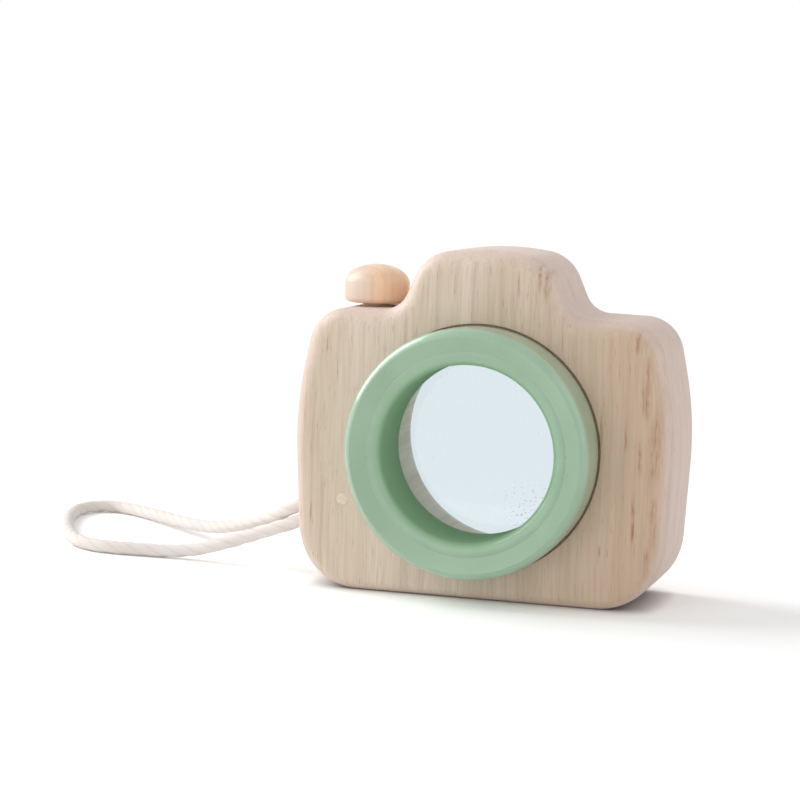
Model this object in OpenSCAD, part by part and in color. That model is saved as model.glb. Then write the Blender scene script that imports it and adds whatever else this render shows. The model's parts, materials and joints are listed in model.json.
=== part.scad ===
// Wooden toy camera: a one-piece block with a hump, a turning lens, a sprung shutter button and a wrist cord.
// Millimetres. X runs to the right seen from the front, Y to the back, Z up. The origin is on the floor,
// under the middle of the camera, measured from the lens ring's front to the block's back.

/* [Block outline] */
// Width low down, between the base corners before they are rounded
base_w = 89.5; // [84:0.5:100]
// Width where the sides begin to lean in
flank_w = 94; // [88:0.5:104]
// Height where the sides begin to lean in
flank_z = 44; // [38:1:52]
// Width across the shoulder corners before they are rounded
shoulder_w = 84; // [80:0.5:94]
// Height of the shoulders beside the hump
shoulder_z = 68.3; // [65:0.1:75]
// Fall of the shoulder line from the hump's foot to the corner
shoulder_fall = 0.4; // [0:0.1:2]
// Depth of the block
body_d = 31.2; // [28:0.2:44]
// Radius of the base corners
base_r = 16; // [8:0.5:20]
// Radius of the bend in the sides
flank_r = 88; // [20:1:110]
// Radius of the shoulder corners
shoulder_r = 9.6; // [6:0.1:11]
// Rounding of the front and back edges
edge_r = 4.4; // [2:0.1:5]

/* [Hump] */
// Height of the crown above the floor
body_h = 83.9; // [80:0.1:94]
// Width of the hump at its foot, before the foot is rounded
hump_base_w = 42.2; // [36:0.2:46]
// Width of the hump at the top, before the corners are rounded
hump_top_w = 30.2; // [26:0.2:34]
// Rise of the crown above the hump's corners
hump_crown = 1.8; // [0.4:0.1:4]
// Radius of the hollow at the hump's foot
hump_foot_r = 6.6; // [4:0.2:6.8]
// Radius of the hump's corners
hump_corner_r = 10.4; // [6:0.2:12]
// Radius of the crown
hump_crown_r = 78; // [20:1:120]

/* [Lens] */
// Height of the lens axis above the floor
lens_z = 36.2; // [34:0.2:38]
// Outer diameter of the painted ring
ring_od = 59.2; // [54:0.2:64]
// Bore of the painted ring
ring_bore_d = 41.8; // [36:0.2:43]
// Thickness of the painted ring
ring_l = 12.2; // [9:0.1:16]
// Gap between the ring and the block
ring_gap = 0.6; // [0.3:0.1:1.5]
// Rounding of the ring's outer front edge
ring_edge_r = 2.8; // [0.5:0.1:3.5]
// Rounding of the ring's lip, at the mouth of the bore
ring_lip_r = 2.4; // [0.5:0.1:3.5]
// Rounding of the ring's rear edge
ring_back_r = 0.8; // [0.2:0.1:2]
// Length of the ring's tenon in the sleeve
tenon_l = 5.3; // [3:0.1:7]
// Wall of the ring's tenon
tenon_wall = 4.2; // [2:0.1:4.6]
// Wall of the sleeve round the tenon and the disc
socket_wall = 1.5; // [1.2:0.1:2]
// Width of the ledge that the disc rests on
seat_ledge = 0.75; // [0.5:0.05:3]
// Width of the sleeve's rear flange
flange_w = 2.8; // [2:0.1:3.4]
// Thickness of the sleeve's rear flange
flange_l = 3; // [2:0.1:5]
// Depth of the flange below the back of the block
flange_inset = 0.4; // [0:0.1:2]
// Rounding of the flange and of the eye opening
eye_edge_r = 1.2; // [0.2:0.1:1.8]
// Thickness of the disc
disc_t = 3; // [1.5:0.1:5]
// Bevel on the disc's edges
disc_bevel = 0.4; // [0.1:0.1:0.7]

/* [Shutter button] */
// Diameter of the cap
cap_d = 16; // [13:0.2:17]
// Height of the cap's straight rim
cap_rim_h = 4.4; // [3:0.1:6]
// Height of the cap's dome above the rim
cap_dome_h = 4.7; // [2.5:0.1:7]
// Rounding of the cap's lower edge
cap_foot_r = 1.4; // [1.2:0.1:1.8]
// Gap under the cap at rest
cap_gap = 1.1; // [1:0.1:3]
// Space between the cap and the hump's foot corner
cap_hump_gap = 1.7; // [1.7:0.1:4]
// Travel of the button
button_travel = 0.5; // [0.3:0.1:0.6]
// Diameter of the stem
stem_d = 7; // [6:0.1:8]
// Length of the stem in the cap
stem_in_cap = 5; // [3:0.1:6]
// Length of the stem below the shoulder
stem_in_block = 13; // [11:0.5:15]
// Bevel on the stem's ends
stem_bevel = 0.5; // [0.2:0.1:1]
// Diameter of the cross pin
pin_d = 2.5; // [1.8:0.1:3]
// Height of the cross pin above the stem's lower end
pin_rise = 5; // [4.5:0.1:6]
// Length of the cross pin in the wood in front of the stem
pin_bite = 4; // [2:0.5:6]
// Depth of the cross pin's end below the back
pin_inset = 0.2; // [0:0.1:1]
// Length of the spring under the stem
spring_l = 8; // [7:0.5:10]
// Space between the spring and the wall of its hole
spring_side_gap = 0.6; // [0.3:0.1:1]
// Diameter of the spring's wire
wire_d = 0.7; // [0.5:0.1:0.9]
// Number of curls
curls = 5; // [4:1:6]

/* [Wrist cord] */
// Diameter of the cord
cord_d = 3.4; // [2.6:0.1:3.6]
// Diameter of the hole that takes both strands
cord_hole_d = 7.6; // [7.4:0.1:9]
// Slope of the hole, falling outwards, in degrees
cord_hole_slope = 23; // [18:1:28]
// Depth of the hole behind the cord pin
cord_hole_end = 3.6; // [3.2:0.1:4.4]
// Width of the countersink at the hole's mouth
cord_mouth = 0.8; // [0.3:0.1:1.5]
// Distance of the cord pin from the side of the block
cord_pin_inset = 12.5; // [9:0.1:13]
// Height of the cord pin above the floor
cord_pin_z = 22; // [20:0.5:24]
// Diameter of the cord pin
cord_pin_d = 3; // [2:0.1:3.4]
// Length of the cord pin in the wood behind the hole
cord_pin_bite = 4; // [2:0.5:6]

/* [Hidden] */

// Colours of the woods, the paint, the disc, the wire and the cord
block_wood = [0.80, 0.71, 0.62];
turned_wood = [0.86, 0.71, 0.58];
mint_paint = [0.61, 0.72, 0.62];
clear_disc = [0.85, 0.89, 0.91];
wire_grey = [0.62, 0.62, 0.62];
cord_cream = [0.93, 0.90, 0.84];

// Radial clearance of turning and sliding fits, and of glued fits
run_gap = 0.1;
glue_gap = 0.05;
// End play of the lens and side play of its flange
flange_play = 0.3;
flange_side_gap = 0.4;
// Clearance at the end of the glued tenon, and of the spring's ends
tenon_end_gap = 0.2;
spring_end_gap = 0.05;
// Bevel at the mouth of the button's hole and on the pins' ends
hole_bevel = 0.6;
dowel_bevel = 0.3;
// How far a cut runs past the face that it opens
overrun = 1;

// Smoothness of round solids, of arcs in outlines and of the block's rolled edge
$fn = 64;
arc_steps = 8;
roll_steps = 6;

// Depth places: the front and back of the block and its middle
total_d = body_d + ring_gap + ring_l;
front_y = total_d / 2 - body_d;
back_y = total_d / 2;
middle_y = front_y + body_d / 2;

// Lens radii, and places measured back from the front of the block
ring_r = ring_od / 2;
bore_r = ring_bore_d / 2;
tenon_r = bore_r + tenon_wall;
socket_r = tenon_r + glue_gap;
sleeve_r = socket_r + socket_wall;
sleeve_bore_r = socket_r - seat_ledge;
flange_r = sleeve_r + flange_w;
tenon_end = tenon_l - ring_gap;
disc_face = tenon_end + tenon_end_gap;
disc_seat = disc_face + disc_t;
sleeve_end = body_d - flange_inset;
flange_face = sleeve_end - flange_l;

// Button places: the cap clears the hump's foot, and heights follow the shoulder under it
cap_r = cap_d / 2;
button_x = -hump_base_w / 2 - cap_hump_gap - cap_r;
shoulder_run_share = (-button_x - hump_base_w / 2) / (shoulder_w / 2 - hump_base_w / 2);
seat_z = shoulder_z - shoulder_fall * shoulder_run_share;
cap_z = seat_z + cap_gap;
stem_r = stem_d / 2;
stem_z = seat_z - stem_in_block;
button_hole_z = stem_z - spring_l;
pin_z = stem_z + pin_rise;
pin_front_y = middle_y - stem_r - run_gap - pin_bite;

// Cord hole: its axis passes through the cord pin and falls outwards to the left side
side_lean_share = cord_pin_z / flank_z;
cord_side_x = -(base_w + (flank_w - base_w) * side_lean_share) / 2;
cord_pin_x = cord_side_x + cord_pin_inset;
cord_mouth_l = cord_pin_inset / cos(cord_hole_slope);
cord_pin_l = body_d / 2 + cord_hole_d / 2 + cord_pin_bite;

// Spring and cord sections
coil_r = stem_r + run_gap - spring_side_gap - wire_d / 2;
spring_sides = 6;
curl_rings = 8;
cord_sides = 8;
cord_steps = 2;

// The cord's route, out of the hole along the upper strand, round the loop and back along the lower one
cord_route = [
    [-32.1, 6.6, 24.5], [-39.6, 6.6, 21.3], [-46.5, 6.6, 18.4], [-51.5, 7, 16.3], [-58.8, 10.8, 12.7],
    [-70.5, 21.8, 8.4], [-83, 34.8, 4.7], [-95.5, 45.8, 3.2], [-108.6, 58, 2.4], [-115.5, 64.2, 2],
    [-121.5, 68.6, 1.8], [-128, 71.2, 1.8], [-133.4, 68.6, 1.8], [-135.2, 62, 1.8], [-133.9, 54.2, 1.8],
    [-130.8, 45, 1.8], [-126.5, 35, 1.8], [-121, 24.8, 1.8], [-115, 16.2, 1.8], [-108.5, 11.4, 1.8],
    [-101.5, 10.1, 1.8], [-94, 10.4, 1.8], [-86.5, 10.8, 1.9], [-79.5, 10.8, 2.8], [-73.1, 9.8, 4.6],
    [-65.5, 8.8, 7.2], [-57.5, 7.2, 10.2], [-50.1, 6.3, 12.9], [-45.1, 6.2, 15.1], [-38.2, 6.2, 18],
    [-30.7, 6.2, 21.2]
];

// Points of an arc about a centre, from one angle to another
function arc(centre, r, from, to) =
    [for (i = [0:arc_steps]) centre + r * [cos(from + (to - from) * i / arc_steps),
        sin(from + (to - from) * i / arc_steps)]];

function unit(v) = v / norm(v);

// One rounded corner of an outline as [point, outward normal] pairs. A corner is [x, z, radius], and its
// radius is held to what the two sides beside it leave room for.
function corner_arc(before, corner, after) =
    let (p = [corner[0], corner[1]],
        u = unit([before[0], before[1]] - p),
        v = unit([after[0], after[1]] - p),
        half = acos(u * v) / 2,
        room_share = 0.49,
        room = room_share * min(norm([before[0], before[1]] - p), norm([after[0], after[1]] - p)),
        reach = min(corner[2] / tan(half), room),
        r = reach * tan(half),
        centre = p + unit(u + v) * r / sin(half),
        start = unit(p + u * reach - centre),
        turn = 180 - 2 * half,
        side = sign(u[0] * v[1] - u[1] * v[0]))
    [for (i = [0:arc_steps])
        let (a = -side * turn * i / arc_steps,
            d = [start[0] * cos(a) - start[1] * sin(a), start[0] * sin(a) + start[1] * cos(a)])
        [centre + r * d, -side * d]];

// The block's outline seen from the front: corners up the right side to the crown, then down the left
right_corners = [
    [base_w / 2, 0, base_r],
    [flank_w / 2, flank_z, flank_r],
    [shoulder_w / 2, shoulder_z - shoulder_fall, shoulder_r],
    [hump_base_w / 2, shoulder_z, hump_foot_r],
    [hump_top_w / 2, body_h - hump_crown, hump_corner_r]
];
last_corner = len(right_corners) - 1;
outline_corners = concat(
    right_corners,
    [[0, body_h, hump_crown_r]],
    [for (i = [last_corner:-1:0]) [-right_corners[i][0], right_corners[i][1], right_corners[i][2]]]
);
corner_count = len(outline_corners);
outline = [
    for (i = [0:corner_count - 1])
        each corner_arc(outline_corners[(i + corner_count - 1) % corner_count], outline_corners[i],
            outline_corners[(i + 1) % corner_count])
];

// The outline drawn in by a distance, at a depth
function outline_ring(inset, y) =
    [for (q = outline) [q[0][0] - inset * q[1][0], y, q[0][1] - inset * q[1][1]]];

// Faces of a stack of closed rings: strips of triangles between them, and flat ends
function strip_faces(rings, n) = [
    for (k = [0:rings - 2], i = [0:n - 1])
        let (a = k * n + i, b = k * n + (i + 1) % n)
            each [[a, b, a + n], [b, b + n, a + n]]
];
function end_faces(rings, n) = [
    [for (i = [n - 1:-1:0]) i],
    [for (i = [0:n - 1]) (rings - 1) * n + i]
];

// A round tube swept along points, with its cross-section square to the way it runs
function tangent(p, i) = unit(p[min(i + 1, len(p) - 1)] - p[max(i - 1, 0)]);
function tube_ring(p, i, r, sides) =
    let (t = tangent(p, i), u = unit(cross([0, 0, 1], t)), v = cross(t, u))
    [for (k = [0:sides - 1]) p[i] + r * (cos(360 * (k + 0.5) / sides) * u + sin(360 * (k + 0.5) / sides) * v)];
module tube(p, r, sides) {
    polyhedron([for (i = [0:len(p) - 1]) each tube_ring(p, i, r, sides)],
        [for (f = concat(strip_faces(len(p), sides), end_faces(len(p), sides))) [for (k = [len(f) - 1:-1:0]) f[k]]]);
}

// A smooth curve through route points, with a few steps between each two
function curve_point(a, b, c, d, t) =
    (2 * b + (c - a) * t + (2 * a - 5 * b + 4 * c - d) * t * t + (3 * b - a - 3 * c + d) * t * t * t) / 2;
function curve(p, steps) = concat(
    [for (i = [0:len(p) - 2], s = [0:steps - 1])
        curve_point(p[max(i - 1, 0)], p[i], p[i + 1], p[min(i + 2, len(p) - 1)], s / steps)],
    [p[len(p) - 1]]
);

// Places and directions
module on_lens_axis() translate([0, front_y, lens_z]) rotate([-90, 0, 0]) children();
module on_button_axis() translate([button_x, middle_y, 0]) children();
module on_cord_hole() translate([cord_pin_x, middle_y, cord_pin_z]) rotate([0, -90 - cord_hole_slope, 0]) children();

// A round dowel along Z with bevelled ends
module dowel(d, l, bevel) {
    rotate_extrude()
        polygon([[0, 0], [d / 2 - bevel, 0], [d / 2, bevel], [d / 2, l - bevel], [d / 2 - bevel, l], [0, l]]);
}

// The block's solid: its outline, with the front and back edges rolled over
module block_solid() {
    n = len(outline);
    front_rolls = [for (k = [0:roll_steps]) let (a = 90 * k / roll_steps)
        outline_ring(edge_r * (1 - sin(a)), front_y + edge_r * (1 - cos(a)))];
    back_rolls = [for (k = [roll_steps:-1:0]) let (a = 90 * k / roll_steps)
        outline_ring(edge_r * (1 - sin(a)), back_y - edge_r * (1 - cos(a)))];
    rings = concat(front_rolls, back_rolls);
    polyhedron([for (r = rings) each r], concat(strip_faces(len(rings), n), end_faces(len(rings), n)));
}

module body_block() {
    color(block_wood) difference() {
        block_solid();
        // bore that the lens turns in, and the recess for its flange
        on_lens_axis() {
            translate([0, 0, -overrun]) cylinder(r = sleeve_r + run_gap, h = body_d + 2 * overrun);
            translate([0, 0, flange_face - flange_play])
                cylinder(r = flange_r + flange_side_gap, h = body_d - flange_face + flange_play + overrun);
        }
        // blind hole for the button's stem and spring, with a bevelled mouth
        on_button_axis() {
            translate([0, 0, button_hole_z])
                cylinder(r = stem_r + run_gap, h = seat_z - button_hole_z + cap_gap);
            translate([0, 0, seat_z - hole_bevel])
                cylinder(r1 = stem_r + run_gap, r2 = stem_r + run_gap + hole_bevel + cap_gap, h = hole_bevel + cap_gap);
        }
        // hole for the cross pin, drilled from the back
        translate([button_x, pin_front_y, pin_z]) rotate([-90, 0, 0])
            cylinder(d = pin_d + 2 * glue_gap, h = back_y - pin_front_y + overrun);
        // sloping hole for the cord's two strands, with a countersunk mouth
        on_cord_hole() {
            translate([0, 0, -cord_hole_end])
                cylinder(d = cord_hole_d, h = cord_hole_end + cord_mouth_l + cord_hole_d);
            translate([0, 0, cord_mouth_l - cord_mouth])
                cylinder(d1 = cord_hole_d, d2 = cord_hole_d + 2 * (cord_mouth + cord_hole_d), h = cord_mouth + cord_hole_d);
        }
        // hole for the cord pin, drilled from the front
        translate([cord_pin_x, front_y - overrun, cord_pin_z]) rotate([-90, 0, 0])
            cylinder(d = cord_pin_d + 2 * glue_gap, h = cord_pin_l + overrun);
    }
}

// Painted ring with a rolled lip and a tenon behind it
module lens_ring() {
    face = -ring_gap - ring_l;
    color(mint_paint) on_lens_axis() rotate_extrude() polygon(concat(
        arc([bore_r + ring_lip_r, face + ring_lip_r], ring_lip_r, 270, 180),
        [[bore_r, tenon_end], [tenon_r, tenon_end], [tenon_r, -ring_gap]],
        arc([ring_r - ring_back_r, -ring_gap - ring_back_r], ring_back_r, 90, 0),
        arc([ring_r - ring_edge_r, face + ring_edge_r], ring_edge_r, 0, -90)
    ));
}

// Plain sleeve that turns in the block: it carries the ring in front and the disc on a ledge
module lens_sleeve() {
    color(turned_wood) on_lens_axis() rotate_extrude() polygon(concat(
        [[sleeve_r, -ring_gap], [socket_r, -ring_gap], [socket_r, disc_seat], [sleeve_bore_r, disc_seat]],
        arc([sleeve_bore_r + eye_edge_r, sleeve_end - eye_edge_r], eye_edge_r, 180, 90),
        arc([flange_r - eye_edge_r, sleeve_end - eye_edge_r], eye_edge_r, 90, 0),
        [[flange_r, flange_face], [sleeve_r, flange_face]]
    ));
}

module lens_disc() {
    disc_r = socket_r - glue_gap;
    color(clear_disc) on_lens_axis() rotate_extrude() polygon([
        [0, disc_face], [disc_r - disc_bevel, disc_face], [disc_r, disc_face + disc_bevel],
        [disc_r, disc_seat - disc_bevel], [disc_r - disc_bevel, disc_seat], [0, disc_seat]
    ]);
}

// Domed cap with a blind hole for the stem
module button_cap() {
    dome = [for (i = [0:2 * arc_steps]) let (a = 90 * i / (2 * arc_steps))
        [cap_r * cos(a), cap_z + cap_rim_h + cap_dome_h * sin(a)]];
    socket = [stem_r + glue_gap, cap_z];
    color(turned_wood) on_button_axis() rotate_extrude() polygon(concat(
        [[0, cap_z + stem_in_cap], [socket[0], cap_z + stem_in_cap], socket],
        arc([cap_r - cap_foot_r, cap_z + cap_foot_r], cap_foot_r, -90, 0),
        dome
    ));
}

// Dowel stem with a slot that the cross pin runs in
module button_stem() {
    slot_d = pin_d + 2 * run_gap;
    slot_l = stem_d + 2 * overrun;
    color(turned_wood) on_button_axis() difference() {
        translate([0, 0, stem_z]) dowel(stem_d, cap_z + stem_in_cap - stem_z, stem_bevel);
        translate([0, -slot_l / 2, pin_z]) {
            for (rise = [0, button_travel])
                translate([0, 0, rise]) rotate([-90, 0, 0]) cylinder(d = slot_d, h = slot_l);
            translate([-slot_d / 2, 0, 0]) cube([slot_d, slot_l, button_travel]);
        }
    }
}

module button_spring() {
    rings = curls * curl_rings;
    rise = spring_l - 2 * spring_end_gap - wire_d;
    path = [for (i = [0:rings]) [
        coil_r * cos(360 * i / curl_rings),
        coil_r * sin(360 * i / curl_rings),
        button_hole_z + spring_end_gap + wire_d / 2 + rise * i / rings
    ]];
    gaps = [for (i = [0:rings], j = [i + curl_rings / 2:1:rings]) norm(path[i] - path[j]) - wire_d];
    echo(spring_least_gap = min(gaps));
    color(wire_grey) on_button_axis() tube(path, wire_d / 2, spring_sides);
}

module button_pin() {
    color(turned_wood) translate([button_x, pin_front_y, pin_z]) rotate([-90, 0, 0])
        dowel(pin_d, back_y - pin_inset - pin_front_y, dowel_bevel);
}

module cord_pin() {
    color(turned_wood) translate([cord_pin_x, front_y, cord_pin_z]) rotate([-90, 0, 0])
        dowel(cord_pin_d, cord_pin_l, dowel_bevel);
}

module wrist_cord() {
    color(cord_cream) tube(curve(cord_route, cord_steps), cord_d / 2, cord_sides);
}

body_block();
lens_ring();
lens_sleeve();
lens_disc();
button_cap();
button_stem();
button_spring();
button_pin();
cord_pin();
wrist_cord();
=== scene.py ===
import json
import math

import bmesh
import bpy
from mathutils import Matrix, Vector

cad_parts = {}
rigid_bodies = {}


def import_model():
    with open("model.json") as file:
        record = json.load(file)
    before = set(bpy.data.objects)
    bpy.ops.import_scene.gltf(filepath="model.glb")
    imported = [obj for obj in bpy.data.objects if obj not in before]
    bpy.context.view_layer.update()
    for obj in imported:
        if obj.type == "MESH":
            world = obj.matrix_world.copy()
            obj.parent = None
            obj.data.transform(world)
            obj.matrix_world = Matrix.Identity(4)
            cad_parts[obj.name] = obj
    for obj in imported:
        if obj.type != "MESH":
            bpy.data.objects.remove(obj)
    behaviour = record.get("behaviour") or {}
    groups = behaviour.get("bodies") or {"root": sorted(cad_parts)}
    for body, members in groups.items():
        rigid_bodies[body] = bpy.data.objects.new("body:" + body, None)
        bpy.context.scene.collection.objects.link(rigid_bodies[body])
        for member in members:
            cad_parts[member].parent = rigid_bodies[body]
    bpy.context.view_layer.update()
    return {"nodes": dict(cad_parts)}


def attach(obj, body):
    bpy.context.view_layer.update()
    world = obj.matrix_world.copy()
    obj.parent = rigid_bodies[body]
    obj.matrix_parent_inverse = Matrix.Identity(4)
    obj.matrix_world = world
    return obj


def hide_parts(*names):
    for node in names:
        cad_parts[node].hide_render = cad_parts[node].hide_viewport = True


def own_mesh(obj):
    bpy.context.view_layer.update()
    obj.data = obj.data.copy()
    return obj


for leftover in list(bpy.data.objects):  # start from an empty scene
    bpy.data.objects.remove(leftover)

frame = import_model()
scene = bpy.context.scene
scene.view_settings.view_transform = "Standard"
mm = 0.001
print("frame loaded,", len(frame["nodes"]), "CAD nodes")


# small helpers for nodes and meshes

def shade(red, green, blue):  # screen colour 0-255 to a linear node colour
    def toLinear(v):
        v /= 255
        return v / 12.92 if v <= 0.04045 else ((v + 0.055) / 1.055) ** 2.4
    return (toLinear(red), toLinear(green), toLinear(blue), 1)


def addNode(tree, kind, sockets=None, **settings):  # a value is set on a socket, a socket is linked to it
    node = tree.nodes.new(kind)
    for key, value in settings.items():
        setattr(node, key, value)
    for key, source in (sockets or {}).items():
        if isinstance(source, bpy.types.NodeSocket):
            tree.links.new(source, node.inputs[key])
        else:
            node.inputs[key].default_value = source
    return node


def calc(tree, operation, first, second=None, clamp=False):
    sockets = {0: first} if second is None else {0: first, 1: second}
    return addNode(tree, "ShaderNodeMath", sockets, operation=operation, use_clamp=clamp).outputs[0]


def newMaterial(name):
    material = bpy.data.materials.new(name)
    material.use_nodes = True
    tree = material.node_tree
    return material, tree, tree.nodes["Principled BSDF"]


def blendColours(tree, share, first, second):
    sockets = {0: share, 6: first, 7: second}  # the colour sockets of a node that also mixes numbers and vectors
    return addNode(tree, "ShaderNodeMix", sockets, data_type="RGBA", clamp_factor=True).outputs[2]


def stretch(tree, value, low, high, newLow=0.0, newHigh=1.0, smooth=False):
    node = addNode(tree, "ShaderNodeMapRange", {"Value": value, "From Min": low, "From Max": high, "To Min": newLow,
        "To Max": newHigh}, interpolation_type="SMOOTHSTEP" if smooth else "LINEAR")
    return node.outputs[0]


def inMillimetres(tree, shift=(0, 0, 0)):  # Object coordinates, by the millimetre
    place = addNode(tree, "ShaderNodeTexCoord").outputs["Object"]
    return addNode(tree, "ShaderNodeMapping", {"Vector": place, "Location": shift, "Scale": (1 / mm,) * 3}).outputs[0]


def cloud(tree, vector, scale=1.0, detail=2.0, roughness=0.5):
    return addNode(tree, "ShaderNodeTexNoise", {"Vector": vector, "Scale": scale, "Detail": detail,
        "Roughness": roughness}).outputs["Fac"]


def roundAxis(tree, place):  # the part of a place across the lens axis, and its distance from the axis
    split = addNode(tree, "ShaderNodeSeparateXYZ", {"Vector": place}).outputs
    flat = addNode(tree, "ShaderNodeCombineXYZ", {"X": split["X"], "Y": split["Z"]}).outputs[0]
    return flat, addNode(tree, "ShaderNodeVectorMath", {0: flat}, operation="LENGTH").outputs["Value"]


def setInputs(shader, values):  # constants on the shader's own sockets
    for key, value in values.items():
        shader.inputs[key].default_value = value


def addBump(tree, shader, height, strength, distance):
    bump = addNode(tree, "ShaderNodeBump", {"Height": height, "Strength": strength, "Distance": distance})
    tree.links.new(bump.outputs[0], shader.inputs["Normal"])


def meshFrom(bm, name):
    mesh = bpy.data.meshes.new(name)
    bm.to_mesh(mesh)
    bm.free()
    return mesh


def newPiece(name, mesh, material, body, slot, *nodes):
    piece = bpy.data.objects.new(name, mesh)
    scene.collection.objects.link(piece)
    mesh.materials.clear()
    mesh.materials.append(material)
    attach(piece, body)
    if nodes:
        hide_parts(*nodes)
    return piece


# camera, at the photograph's angle

cameraSetup = {"place": (0.14521, -0.54885, 0.10992), "azimuth": 16.962, "elevation": 6.374, "roll": 1.594,
    "lens": 106.853}


def setCamera(setup):
    azimuth, elevation, roll = (math.radians(setup[key]) for key in ("azimuth", "elevation", "roll"))
    back = Vector((math.sin(azimuth) * math.cos(elevation), -math.cos(azimuth) * math.cos(elevation),
        math.sin(elevation)))
    side = Vector((math.cos(azimuth), math.sin(azimuth), 0))
    up = back.cross(side)
    across = side * math.cos(roll) + up * math.sin(roll)
    upright = up * math.cos(roll) - side * math.sin(roll)
    data = bpy.data.cameras.new("photoCamera")
    data.lens = setup["lens"]
    data.sensor_width = 36
    camera = bpy.data.objects.new("photoCamera", data)
    camera.matrix_world = Matrix.Translation(setup["place"]) @ Matrix((across, upright, back)).transposed().to_4x4()
    scene.collection.objects.link(camera)
    scene.camera = camera


setCamera(cameraSetup)
print("camera set")


# wrist cord: soft twisted cotton along the route of the CAD cord

cordSpec = {"diameter": 3.4, "strands": 3, "lay": 5.4, "grooveDepth": 0.13, "rings": 760, "sides": 30, "between": 8,
    "route": [(-32.1, 6.6, 24.5), (-39.6, 6.6, 21.3), (-46.5, 6.6, 18.4), (-51.5, 7, 16.3), (-58.8, 10.8, 12.7),
        (-70.5, 21.8, 8.4), (-83, 34.8, 4.7), (-95.5, 45.8, 3.2), (-108.6, 58, 2.4), (-115.5, 64.2, 2),
        (-121.5, 68.6, 1.8), (-128, 71.2, 1.8), (-133.4, 68.6, 1.8), (-135.2, 62, 1.8), (-133.9, 54.2, 1.8),
        (-130.8, 45, 1.8), (-126.5, 35, 1.8), (-121, 24.8, 1.8), (-115, 16.2, 1.8), (-108.5, 11.4, 1.8),
        (-101.5, 10.1, 1.8), (-94, 10.4, 1.8), (-86.5, 10.8, 1.9), (-79.5, 10.8, 2.8), (-73.1, 9.8, 4.6),
        (-65.5, 8.8, 7.2), (-57.5, 7.2, 10.2), (-50.1, 6.3, 12.9), (-45.1, 6.2, 15.1), (-38.2, 6.2, 18),
        (-30.7, 6.2, 21.2)]}

# the groove colour is painted shade where the strands meet
cotton = {"white": (238, 232, 227), "cream": (235, 226, 219), "fibre": (232, 221, 212), "groove": (219, 205, 196),
    "yarnStretch": 120.0, "bump": (0.5, 0.00025), "roughLow": 0.82, "roughHigh": 0.98, "sheenTint": (1, 0.97, 0.93, 1)}


def smoothRoute(route, steps):  # Catmull-Rom through the route's points
    points = [Vector(p) * mm for p in route]
    last = len(points) - 1
    line = []
    for i in range(last):
        a, b, c, d = points[max(i - 1, 0)], points[i], points[i + 1], points[min(i + 2, last)]
        for k in range(steps):
            t = k / steps
            line.append((2 * b + (c - a) * t + (2 * a - 5 * b + 4 * c - d) * t * t
                + (3 * b - a - 3 * c + d) * t ** 3) / 2)
    line.append(points[last])
    return line


def cottonMaterial(spec):
    material, tree, shader = newMaterial("cottonCord")
    ridge = addNode(tree, "ShaderNodeAttribute", attribute_name="ridge").outputs["Fac"]
    yarn = addNode(tree, "ShaderNodeAttribute", attribute_name="yarn").outputs["Vector"]
    fibres = cloud(tree, yarn, scale=5.0, detail=5.0, roughness=0.7)
    fuzz = cloud(tree, inMillimetres(tree), scale=2.6, detail=4.0, roughness=0.7)
    patches = cloud(tree, inMillimetres(tree), scale=0.11, detail=2.0)
    colour = blendColours(tree, stretch(tree, patches, 0.38, 0.64), shade(*spec["white"]), shade(*spec["cream"]))
    colour = blendColours(tree, stretch(tree, fibres, 0.42, 0.72, 0, 0.3), colour, shade(*spec["fibre"]))
    # darker in the grooves between the strands: painted shade
    colour = blendColours(tree, stretch(tree, ridge, 0.0, 0.5, 0.4, 0.0, smooth=True), colour, shade(*spec["groove"]))
    tree.links.new(colour, shader.inputs["Base Color"])
    height = calc(tree, "ADD", calc(tree, "MULTIPLY", fibres, 0.8), calc(tree, "MULTIPLY", fuzz, 0.6))
    addBump(tree, shader, height, *spec["bump"])
    tree.links.new(stretch(tree, fuzz, 0.3, 0.7, spec["roughLow"], spec["roughHigh"]), shader.inputs["Roughness"])
    setInputs(shader, {"Specular IOR Level": 0.2, "Sheen Weight": 0.15, "Sheen Roughness": 0.5,
        "Sheen Tint": spec["sheenTint"]})
    return material


def newTree(name, values):  # a Geometry Nodes tree from a path to a tube, with the values that it is given
    tree = bpy.data.node_groups.new(name, "GeometryNodeTree")
    tree.interface.new_socket("Path", in_out="INPUT", socket_type="NodeSocketGeometry")
    tree.interface.new_socket("Tube", in_out="OUTPUT", socket_type="NodeSocketGeometry")
    for label, kind in (*values.items(), ("Finish", "Material")):
        tree.interface.new_socket(label, in_out="INPUT", socket_type="NodeSocket" + kind)
    return tree, addNode(tree, "NodeGroupInput").outputs


def endTree(tree, tube, finish):
    tube = addNode(tree, "GeometryNodeSetShadeSmooth", {"Geometry": tube}).outputs[0]
    tube = addNode(tree, "GeometryNodeRealizeInstances", {"Geometry": tube}).outputs[0]
    tube = addNode(tree, "GeometryNodeSetMaterial", {"Geometry": tube, "Material": finish}).outputs[0]
    addNode(tree, "NodeGroupOutput", {"Tube": tube})
    return tree


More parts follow.
